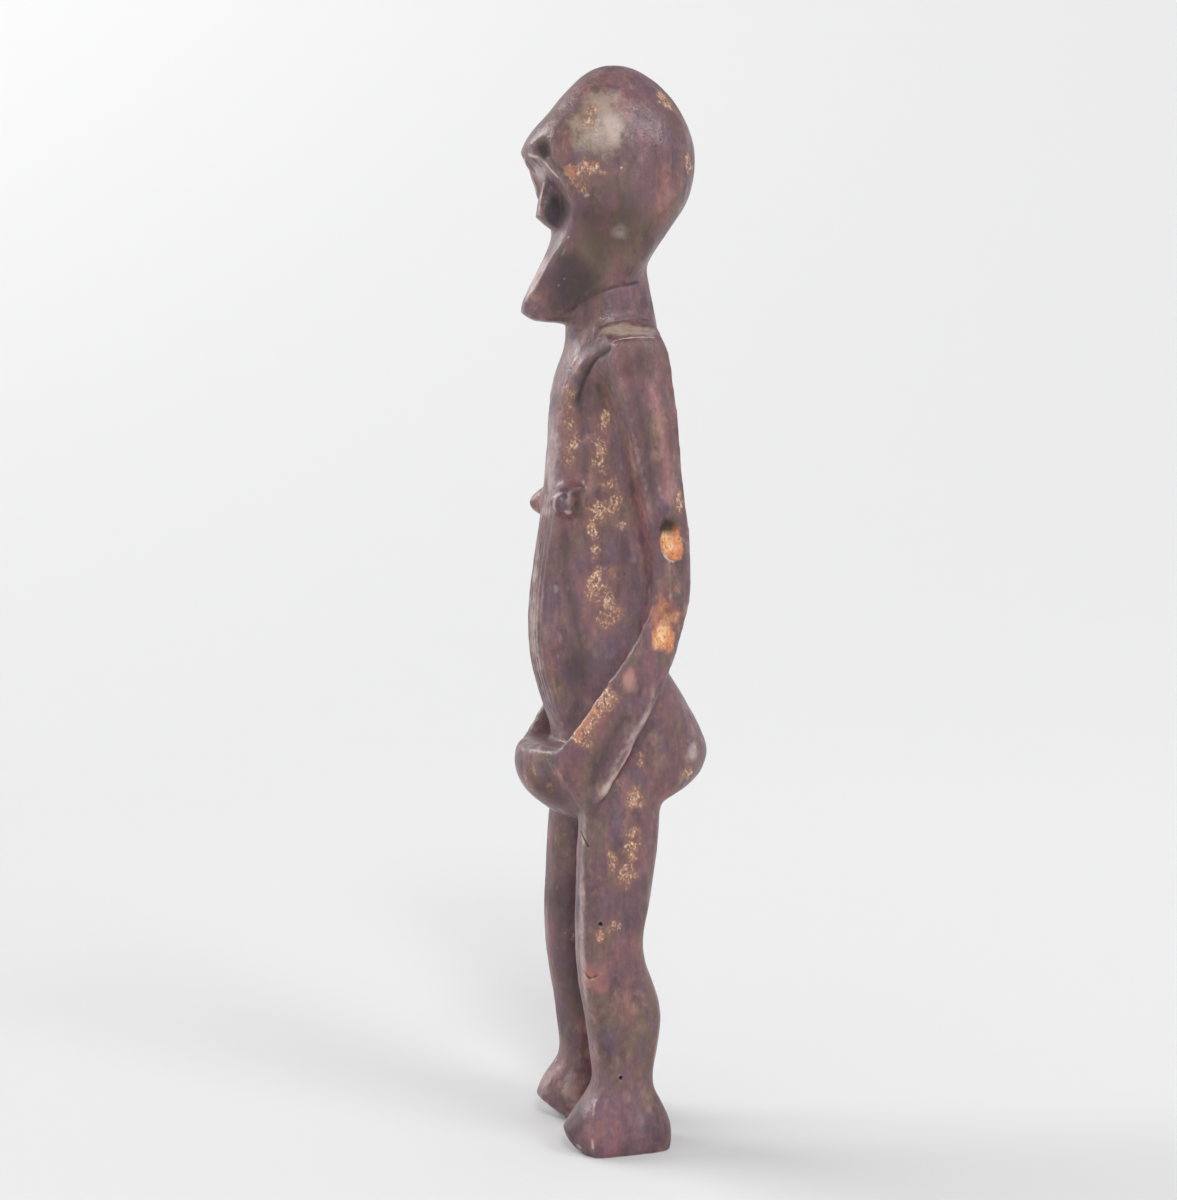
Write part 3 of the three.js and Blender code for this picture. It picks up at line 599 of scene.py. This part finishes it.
def hip_marks(carving):
    """A painted highlight ring and patch, and worn patches, on the buttock."""
    # A painted highlight ring and patch on the buttock.
    carving.stroke([(27.5, 27, 168.5), (25.5, 31, 166.5), (26.5, 30, 163), (28.5, 25.5, 164)], 0.9,
                   ragged=0.4, light=1.0)
    carving.patch((26, 29, 165), (5, 6, 7), ragged=0.4, soft=0.8, light=0.6)
    carving.patch((27, 27.5, 157), (4, 5, 4), ragged=0.6, soft=0.7, worn=0.75, tint=-0.5)
    carving.patch((30.5, 5, 163), (2.4, 4, 5), depth=0.2, ragged=0.7, soft=0.7, worn=0.6)


def leg_marks(carving):
    """Pits, a chipped knee with a crack, painted highlights on shin and foot, painted shade, insect holes."""
    pits = (((31.9, 1.4, 148), (2.4, 3, 4.4), 0.4, 0.95), ((32.5, 2, 135), (2, 2.2, 2.4), 0.4, 0.6),
            ((32.8, 0.2, 128), (2, 2.4, 6), 0.35, 0.85), ((32.6, -8.2, 122.5), (2, 2.4, 4), 0.3, 0.7),
            ((32.5, -3, 117), (2, 3, 5), 0.3, 0.7), ((32.8, -7, 96.6), (2, 2.4, 2.6), 0.2, 0.6),
            ((33, -6, 90), (2, 2.2, 3), 0.15, 0.5), ((31.6, -12.5, 93), (1.6, 2, 2.4), 0.2, 0.8))
    # Painted shade over the far leg, and a darker patch on the near leg.
    carving.patch((-20, -4, 80), (22, 26, 70), ragged=0.3, soft=0.6, dark=0.6)
    carving.patch((30, 0, 105), (12, 20, 26), ragged=0.5, soft=0.9, dark=0.4)
    carving.worn_pits(pits)
    carving.patch((29, -16.5, 75), (8, 9, 7), ragged=0.7, soft=0.9, tint=1.0, worn=0.45)
    carving.patch((28.5, -17, 76.5), (4, 4, 2.4), depth=0.3, ragged=0.9, soft=0.8, bare=0.4)
    carving.stroke([(26.5, -18.5, 77), (28, -17.5, 74.5), (29.5, -16.5, 74), (31.5, -13.5, 76.5)], 1.0,
                   depth=0.5, ragged=0.5, dark=0.8)
    # A groove at the top of the thigh, darkened with painted shade.
    carving.stroke([(20, -18, 134), (24, -18, 131), (28, -16.5, 127.5)], 1.0, depth=0.7, dark=0.9)
    # A painted highlight down the front edge of the near leg.
    carving.stroke([(23.5, -19, 150), (24, -19, 120), (25.5, -19.5, 102), (26.5, -19, 86), (25.5, -19, 70),
                    (24.5, -19, 50), (24, -19, 32)], 4.2, ragged=0.45, light=0.62)
    # Painted shade on the foot's front, and painted highlights along its edge and at its toe.
    carving.patch((25, -25, 12), (8, 12, 17), ragged=0.3, soft=0.5, dark=0.6)
    carving.stroke([(28.5, -14, 25), (31.5, -16, 14), (33, -16.5, 2)], 1.5, depth=-0.4, light=0.35)
    carving.patch((-23, -21.5, 104.5), (2.4, 2, 1.6), depth=0.8, ragged=0.4, worn=0.5)
    carving.patch((28, -21.5, 4), (2.2, 2.2, 1.8), depth=0.3, ragged=0.6, light=0.7)
    # Two insect holes, darkened inside with painted shade.
    for place in ((31.9, -13, 97), (31.5, -4, 32.5)):
        carving.patch(place, (1, 1, 1), depth=1.5, ragged=0.1, dark=1.0)


def carved_surface():
    """The figure's final mesh."""
    source = bpy.data.objects[NODE].data.copy()
    coarse = applied(source, ("WELD", {"merge_threshold": WELD_REACH * MM}),
                     ("REMESH", {"mode": "VOXEL", "voxel_size": COARSE_VOXEL * MM}))
    blank = Surface(coarse)
    smooth_between_ridges(blank)
    for place, reach, rounds in SOFTENED:
        soften(blank, place, reach, rounds)
    blank.write()
    fine = applied(coarse, ("SUBSURF", {"levels": 1, "subdivision_type": "CATMULL_CLARK"}))
    surface = Surface(fine)
    carving = Carving(surface)
    for marks in (tool_marks, scattered_wear, face_marks, head_marks, neck_marks, chest_marks, belly_marks,
                  arm_breaks, forearm_marks, hip_marks, leg_marks):
        marks(carving)
    carving.height *= step(0.0, FLOOR_FADE, carving.points[:, 2])
    carving.push()
    set_flat_soles(surface)
    low, high = cad_box_mm()
    surface.points = np.clip(surface.points, low, high - BOX_CLEARANCE)
    ridge_wear_sheen_and_hollow_shade(carving)
    surface.write()
    for name, values in carving.masks.items():
        attribute = fine.attributes.new(name, "FLOAT", "POINT")
        attribute.data.foreach_set("value", values.astype(np.float32))
    return applied(fine, ("TRIANGULATE", {}), ("DECIMATE", {"ratio": TRIANGLE_SHARE}))


def set_flat_soles(surface):
    """Lays the soles on the floor."""
    low = surface.points[:, 2] < SOLE_BAND
    facing_down = surface.normals()[low, 2] < SOLE_FACING
    surface.points[low, 2] = np.where(facing_down, 0.0, surface.points[low, 2])


def cad_box_mm():
    """The solid's lowest and highest corner."""
    low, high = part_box(NODE)
    return np.array(low) / MM, np.array(high) / MM


# The rounds of averaging that give a point's near and far surroundings. Then, for ridges and hollows, the
# height over those surroundings at which the ridges' rubbed wear and painted sheen, and the hollows'
# painted shade, start and are at their full, and how strong they are.
NEAR_ROUNDS = 8
FAR_ROUNDS = 30
FINE_RIDGE = (0.04, 0.22, 0.4)
BROAD_RIDGE = (0.1, 0.6, 0.35)
FINE_HOLLOW = (-0.03, -0.2, 0.6)
BROAD_HOLLOW = (-0.08, -0.5, 0.7)


def graded(values, grade):
    """How far the values are from where the grade starts to its full, times its strength."""
    start, full, strength = grade
    return step(start, full, values) * strength


def ridge_wear_sheen_and_hollow_shade(carving):
    """Rubbed wear and painted sheen where the surface is a ridge, painted shade where it is a hollow."""
    surface = carving.surface
    normals = surface.normals()
    near = surface.relaxed(surface.points, NEAR_ROUNDS)
    far = surface.relaxed(near, FAR_ROUNDS)
    fine = ((surface.points - near) * normals).sum(axis=1)
    broad = ((near - far) * normals).sum(axis=1)
    ridge = graded(fine, FINE_RIDGE) + graded(broad, BROAD_RIDGE)
    hollow = graded(fine, FINE_HOLLOW) + graded(broad, BROAD_HOLLOW)
    carving.masks["light"] = np.clip(carving.masks["light"] + ridge, 0, 1)
    carving.masks["hollow_shade"] = np.clip(hollow, 0, 1)


# The wood's material.

# A mix node's colour sockets: the two that go in, and the one that comes out.
FIRST_COLOUR = 6
SECOND_COLOUR = 7
MIXED_COLOUR = 2


class Shader:
    """Short ways to add and link shader nodes."""

    def __init__(self, name):
        self.material = bpy.data.materials.new(name)
        self.material.use_nodes = True
        self.tree = self.material.node_tree
        self.surface = self.tree.nodes["Principled BSDF"]

    def node(self, kind, inputs=None, **settings):
        """A new node with these settings, and with its inputs linked or set."""
        made = self.tree.nodes.new(kind)
        for name, value in settings.items():
            setattr(made, name, value)
        for name, value in (inputs or {}).items():
            self.join(value, made.inputs[name])
        return made

    def join(self, value, socket):
        """Links another node's output to the socket, or sets a plain value on it."""
        if isinstance(value, bpy.types.NodeSocket):
            self.tree.links.new(value, socket)
        else:
            socket.default_value = value

    def mask(self, name):
        """One of the masks that the carving left on the mesh."""
        return self.node("ShaderNodeAttribute", attribute_name=name).outputs["Fac"]

    def place(self, stretch):
        """The point in millimetres, with each axis shrunk by stretch."""
        at = self.node("ShaderNodeTexCoord").outputs["Object"]
        scale = tuple(1 / MM / part for part in stretch)
        return self.node("ShaderNodeVectorMath", {0: at, 1: scale}, operation="MULTIPLY").outputs[0]

    def noise(self, size, detail, roughness, stretch):
        """Noise of this size in millimetres, longer along the axes that are stretched."""
        inputs = {"Vector": self.place(stretch), "Scale": 1 / size, "Detail": detail,
                  "Roughness": roughness}
        return self.node("ShaderNodeTexNoise", inputs).outputs["Fac"]

    def math(self, operation, first, second, third=0.0):
        """The operation's result for two or three values."""
        inputs = {0: first, 1: second, 2: third}
        return self.node("ShaderNodeMath", inputs, operation=operation).outputs[0]

    def span(self, value, low, high, start=0.0, end=1.0):
        """A smooth change from start to end while the value goes from low to high."""
        inputs = {"Value": value, "From Min": low, "From Max": high, "To Min": start, "To Max": end}
        return self.node("ShaderNodeMapRange", inputs, interpolation_type="SMOOTHSTEP").outputs[0]

    def blend(self, share, first, second):
        """The first colour with this share of the second over it."""
        made = self.node("ShaderNodeMix", {"Factor": share}, data_type="RGBA")
        self.join(first, made.inputs[FIRST_COLOUR])
        self.join(second, made.inputs[SECOND_COLOUR])
        return made.outputs[MIXED_COLOUR]

    def layered(self, colour, layers):
        """The colour under layers, each a value, where it starts and is full, its share and colour."""
        for value, start, full, share, layer in layers:
            colour = self.blend(self.span(value, start, full, 0, share), colour, layer)
        return colour


def srgb(red, green, blue):
    """A colour given as on a screen, 0 to 255, as the shader's linear colour."""
    def linear(value):
        value = value / 255
        return value / 12.92 if value <= 0.04045 else ((value + 0.055) / 1.055) ** 2.4
    return (linear(red), linear(green), linear(blue), 1.0)


# The patina, from its ground to the clouds, dapples, grain and tints, and painted shade in hollows over it.
PLUM = srgb(104, 72, 73)
MAUVE = srgb(112, 79, 90)
OLIVE = srgb(108, 92, 60)
ROSE = srgb(148, 88, 90)
VIOLET = srgb(84, 70, 100)
HAZE = srgb(190, 156, 146)
SOOT = srgb(46, 31, 36)
PALE_DAPPLE = srgb(188, 152, 140)
DARK_DAPPLE = srgb(54, 38, 43)
DARK_GRAIN = srgb(60, 42, 44)
WARM_TINT = srgb(170, 108, 104)
OLIVE_TINT = srgb(114, 98, 62)
SHADE_IN_HOLLOWS = srgb(42, 28, 31)

# Rubbed wear with painted highlights, worn wood, broken fibres, and painted shade in the deepest marks.
RUBBED_AND_HIGHLIGHT = srgb(208, 188, 180)
WORN = srgb(126, 84, 66)
DARK_CRUMB = srgb(98, 64, 54)
PALE_CRUMB = srgb(184, 136, 108)
GLINT = srgb(230, 200, 172)
ORANGE_FIBRE = srgb(200, 120, 70)
PALE_FIBRE = srgb(238, 192, 146)
FIBRE_GRAIN = srgb(168, 96, 58)
FIBRE_GAP = srgb(128, 72, 46)
BREAK_RIM = srgb(160, 102, 82)
SHADE = srgb(36, 26, 28)

# The roughness where the patina is dull and where it is satin, what bare wood and shade add to it, and
# the strength of the reflections.
DULL = 0.42
SATIN = 0.28
BARE_ROUGHER = 0.3
SHADE_ROUGHER = 0.4
REFLECTION = 0.65

# The finest relief in millimetres, and its strength.
RELIEF = 0.3
RELIEF_STRENGTH = 0.8


def patina(shader, haze, dapple, streak):
    """Purple-brown with olive, red and violet clouds, and painted shade in the hollows."""
    broad = shader.noise(22, 2, 0.5, (1, 1, 1.8))
    olive = shader.noise(9, 3, 0.55, (1, 1.1, 1.9))
    red = shader.noise(11, 3, 0.55, (1.1, 1, 2.1))
    violet = shader.noise(8, 2, 0.55, (1.2, 1, 1.7))
    soot = shader.noise(7, 3, 0.6, (1, 1, 2.2))
    tint = shader.mask("tint")
    ground = shader.blend(shader.span(broad, 0.34, 0.66), PLUM, MAUVE)
    colour = shader.layered(ground, (
        (olive, 0.44, 0.74, 0.6, OLIVE),
        (red, 0.46, 0.76, 0.6, ROSE),
        (violet, 0.48, 0.78, 0.5, VIOLET),
        (haze, 0.50, 0.90, 0.5, HAZE),
        (soot, 0.54, 0.24, 0.6, SOOT),
        (dapple, 0.50, 0.85, 0.22, PALE_DAPPLE),
        (dapple, 0.50, 0.20, 0.4, DARK_DAPPLE),
        (streak, 0.48, 0.74, 0.3, DARK_GRAIN),
        (tint, 0.05, 1.0, 0.75, WARM_TINT),
        (tint, -0.05, -1.0, 0.75, OLIVE_TINT),
    ))
    return shader.blend(shader.math("MULTIPLY", shader.mask("hollow_shade"), 0.85), colour, SHADE_IN_HOLLOWS)


def worn_wood(shader, colour, uneven, dapple, crumb):
    """The colour paled by rubbed wear and painted highlights, worn to crumbs with painted glints at marks."""
    # The light mask: painted highlights and sheen, together with rubbed wear on ridges and edges.
    rubbed_and_highlight = shader.math("ADD", shader.mask("light"), shader.math("MULTIPLY", uneven, 0.7))
    worn = shader.math("ADD", shader.mask("worn"), uneven)
    crumbs = shader.blend(shader.span(dapple, 0.36, 0.64), DARK_CRUMB, PALE_CRUMB)
    colour = shader.layered(colour, (
        (rubbed_and_highlight, 0.1, 1.1, 0.8, RUBBED_AND_HIGHLIGHT),
        (worn, 0.05, 0.6, 0.8, WORN),
        (worn, 0.40, 1.0, 0.8, crumbs),
    ))
    # Glints: painted highlight flecks in the worn marks.
    glints = shader.math("MULTIPLY", shader.span(crumb, 0.44, 0.78), shader.span(worn, 0.2, 0.8, 0, 0.95))
    return shader.blend(glints, colour, GLINT)


def broken_wood(shader, bare, haze, streak, crumb):
    """Pale and orange fibres, redder towards the break's rim."""
    fibre = shader.blend(shader.span(haze, 0.35, 0.65), ORANGE_FIBRE, PALE_FIBRE)
    return shader.layered(fibre, (
        (streak, 0.45, 0.70, 0.6, FIBRE_GRAIN),
        (crumb, 0.46, 0.30, 0.6, FIBRE_GAP),
        (bare, 0.9, 0.3, 1.0, BREAK_RIM),
    ))


def wood_material():
    """Satin purple-brown patina with olive, red and violet clouds, worn to pale wood at the marks."""
    shader = Shader("wood")
    haze = shader.noise(7, 3, 0.55, (1.1, 1.1, 1.6))
    dapple = shader.noise(2.2, 3, 0.6, (1, 1.1, 1.3))
    streak = shader.noise(1.3, 3, 0.6, (1, 1, 9))
    crumb = shader.noise(1.0, 1, 0.5, (1, 1, 1.2))
    fleck = shader.noise(0.8, 2, 0.6, (1, 1, 1.4))
    uneven = shader.math("ADD", haze, shader.math("MULTIPLY_ADD", dapple, 0.9, -0.95))
    bare = shader.math("ADD", shader.mask("bare"), shader.math("MULTIPLY", uneven, 0.8))
    # The dark mask: painted shade in hollows, creases, holes and turned-away parts, and some darker patches.
    shade = shader.math("MULTIPLY_ADD", uneven, 0.3, shader.mask("dark"))
    shade = shader.span(shade, 0.05, 1.0, 0, 0.95)

    colour = worn_wood(shader, patina(shader, haze, dapple, streak), uneven, dapple, crumb)
    fibre = broken_wood(shader, bare, haze, streak, crumb)
    colour = shader.blend(shader.span(bare, 0.1, 0.5), colour, fibre)
    colour = shader.blend(shade, colour, SHADE)
    shader.join(colour, shader.surface.inputs["Base Color"])

    gloss = shader.span(haze, 0.35, 0.65, DULL, SATIN)
    gloss = shader.math("MULTIPLY_ADD", shader.span(bare, 0.2, 0.6), BARE_ROUGHER, gloss)
    gloss = shader.math("MULTIPLY_ADD", shade, SHADE_ROUGHER, gloss)
    shader.join(gloss, shader.surface.inputs["Roughness"])
    shader.surface.inputs["Specular IOR Level"].default_value = REFLECTION

    relief = shader.math("MULTIPLY_ADD", streak, 0.25, shader.math("MULTIPLY", fleck, 0.3))
    relief = shader.math("MULTIPLY_ADD", dapple, 1.5, relief)
    inputs = {"Height": relief, "Distance": RELIEF * MM, "Strength": RELIEF_STRENGTH}
    bump = shader.node("ShaderNodeBump", inputs)
    shader.join(bump.outputs["Normal"], shader.surface.inputs["Normal"])
    return shader.material


# Stage, lights and camera.

# The floor's flat middle and the bowl around it in millimetres, and the mesh's steps round and outwards.
FLOOR_HUB = 0.001
FLOOR_RADIUS = 900
BOWL_RADIUS = 7000
BOWL_HEIGHT = 3000
FLOOR_TURNS = 96
BOWL_RINGS = 25

# The sky's colour and strength, and the paper's light, fall-off on its slopes, roughness and reflection.
SKY_COLOUR = (0.98, 0.98, 1.0, 1.0)
SKY_LIGHT = 0.5
PAPER_LIGHT = 0.49
PAPER_BOUNCE = 0.3
PAPER_ROUGHNESS = 0.9
PAPER_REFLECTION = 0.1

# Name, turn from the figure's left towards its front, elevation and width in degrees, and strength.
LAMPS = (
    ("lamp", 8, 42, 16, 0.9),
    ("window", 128, 32, 40, 2.0),
    ("fill", -36, 40, 24, 0.7),
)


def towards(turn, elevation):
    """The direction in which a lamp stands, seen from the figure."""
    across, up = math.radians(turn), math.radians(elevation)
    return Vector((math.cos(across) * math.cos(up), -math.sin(across) * math.cos(up), math.sin(up)))


def paper_tone(normal):
    """How pale the background is where it faces this way, so that the lamps light it evenly."""
    light = sum(strength / math.pi * max(0.0, normal.dot(towards(turn, elevation)))
                for _, turn, elevation, _, strength in LAMPS)
    return PAPER_LIGHT * normal.z ** PAPER_BOUNCE / light


def plain_stage():
    """A pale seamless floor that rises gently all round, past the horizon."""
    width = BOWL_RADIUS - FLOOR_RADIUS
    profile = [(FLOOR_HUB, 0, 0)]
    for share in np.linspace(0, 1, BOWL_RINGS):
        profile.append((FLOOR_RADIUS + width * share, BOWL_HEIGHT * share ** 2,
                        2 * BOWL_HEIGHT * share / width))
    points, tones = [], []
    for radius, height, slope in profile:
        for angle in np.linspace(0, 2 * math.pi, FLOOR_TURNS, endpoint=False):
            across, along = math.cos(angle), math.sin(angle)
            points.append((radius * MM * across, radius * MM * along, height * MM))
            tones.append(paper_tone(Vector((-slope * across, -slope * along, 1)).normalized()))
    faces = []
    for ring in range(len(profile) - 1):
        for index in range(FLOOR_TURNS):
            here = ring * FLOOR_TURNS + index
            beside = ring * FLOOR_TURNS + (index + 1) % FLOOR_TURNS
            faces.append((here, beside, beside + FLOOR_TURNS, here + FLOOR_TURNS))
    mesh = bpy.data.meshes.new("studio_floor")
    mesh.from_pydata(points, [], faces)
    mesh.shade_smooth()
    mesh.attributes.new("tone", "FLOAT", "POINT").data.foreach_set("value", tones)
    shader = Shader("pale_floor")
    shader.join(shader.mask("tone"), shader.surface.inputs["Base Color"])
    shader.surface.inputs["Roughness"].default_value = PAPER_ROUGHNESS
    shader.surface.inputs["Specular IOR Level"].default_value = PAPER_REFLECTION
    mesh.materials.append(shader.material)
    floor = placed("studio_floor", mesh)


def studio():
    """The floor, a soft sky and the lamps."""
    plain_stage()
    world = bpy.data.worlds.new("studio")
    world.use_nodes = True
    background = world.node_tree.nodes["Background"]
    background.inputs["Color"].default_value = SKY_COLOUR
    background.inputs["Strength"].default_value = SKY_LIGHT
    bpy.context.scene.world = world
    for name, turn, elevation, width, strength in LAMPS:
        lamp = bpy.data.lights.new(name, "SUN")
        lamp.angle = math.radians(width)
        lamp.energy = strength
        holder = placed(name, lamp)
        holder.rotation_euler = towards(turn, elevation).to_track_quat("Z", "Y").to_euler()
    bpy.context.scene.view_settings.view_transform = "Standard"


def photo_camera():
    """Stands where the photograph was taken from."""
    turn = math.radians(CAMERA_TURN)
    pitch = math.radians(CAMERA_PITCH)
    yaw = math.atan((AXIS_COLUMN - PHOTO_WIDTH / 2) / FOCAL_PIXELS)
    heading = math.pi - turn + yaw
    ahead = Vector((math.cos(heading) * math.cos(pitch), math.sin(heading) * math.cos(pitch),
                    -math.sin(pitch)))
    eye = Vector((CAMERA_DISTANCE * math.cos(turn), AXIS_OFFSET - CAMERA_DISTANCE * math.sin(turn),
                  CAMERA_HEIGHT)) * MM
    camera = bpy.data.cameras.new("photo_camera")
    camera.sensor_width = SENSOR
    camera.lens = SENSOR * FOCAL_PIXELS / PHOTO_HEIGHT
    camera.clip_end = CLIP_END * MM
    holder = placed("photo_camera", camera)
    holder.location = eye
    holder.rotation_euler = ahead.to_track_quat("-Z", "Y").to_euler()
    bpy.context.scene.camera = holder


def figure():
    """The carved surface in the solid's place."""
    mesh = carved_surface()
    mesh.name = "carved_surface"
    mesh.shade_smooth()
    mesh.materials.clear()
    mesh.materials.append(wood_material())
    piece = placed("carved_surface", mesh)
    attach(piece, "root")
    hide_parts(NODE)


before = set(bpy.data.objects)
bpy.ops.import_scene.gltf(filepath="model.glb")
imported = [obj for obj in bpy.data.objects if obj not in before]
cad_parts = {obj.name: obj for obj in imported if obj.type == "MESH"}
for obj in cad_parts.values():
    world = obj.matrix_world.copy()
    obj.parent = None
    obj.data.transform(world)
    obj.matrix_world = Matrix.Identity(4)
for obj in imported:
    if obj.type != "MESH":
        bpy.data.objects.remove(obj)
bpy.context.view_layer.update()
photo_camera()
studio()
figure()
